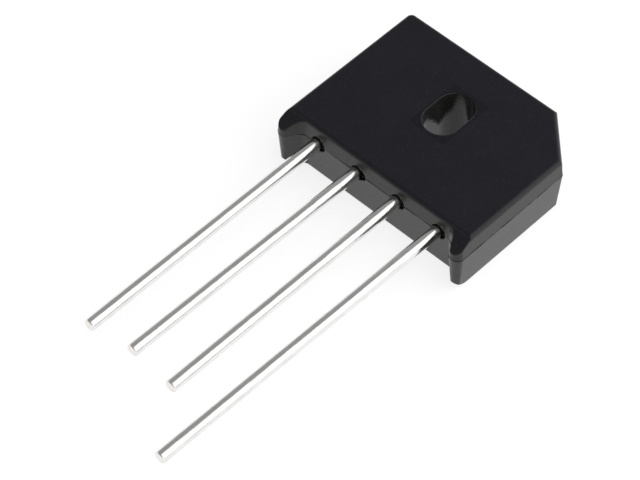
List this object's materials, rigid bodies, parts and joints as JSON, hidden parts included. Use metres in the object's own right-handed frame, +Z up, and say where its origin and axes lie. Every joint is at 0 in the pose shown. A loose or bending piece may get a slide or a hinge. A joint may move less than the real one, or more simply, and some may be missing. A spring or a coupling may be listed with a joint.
{
  "type": "bridge rectifier",
  "caption": "Single-phase bridge rectifier in a flat moulded in-line package with a screw slot, a bevelled corner, front feet and long round wire leads.",
  "frame": {"origin": "centre of the screw slot on the resting face of the case", "axes": "+Z up through the thickness of the case, leads leave towards -Y, +X towards the positive lead"},
  "size_m": [0.0232, 0.0524, 0.0067],
  "materials": {
    "body": "black moulded epoxy, fine matt grain",
    "lead": "bright tin plating over copper, lightly scuffed",
    "die": "silicon die with metallised faces",
    "strap": "bare copper strip",
    "solder": "dull solder"
  },
  "bodies": {
    "root": {"body": "body", "lead_minus": "lead", "lead_ac1": "lead", "lead_ac2": "lead", "lead_plus": "lead", "die_plus_rear": "die", "die_plus_front": "die", "die_ac1": "die", "die_ac2": "die", "strap_rear": "strap", "strap_front": "strap", "strap_common": "strap", "joint_01": "solder", "joint_02": "solder", "joint_03": "solder", "joint_04": "solder", "joint_05": "solder", "joint_06": "solder", "joint_07": "solder", "joint_08": "solder", "joint_09": "solder", "joint_10": "solder", "joint_11": "solder"}
  },
  "joints": []
}
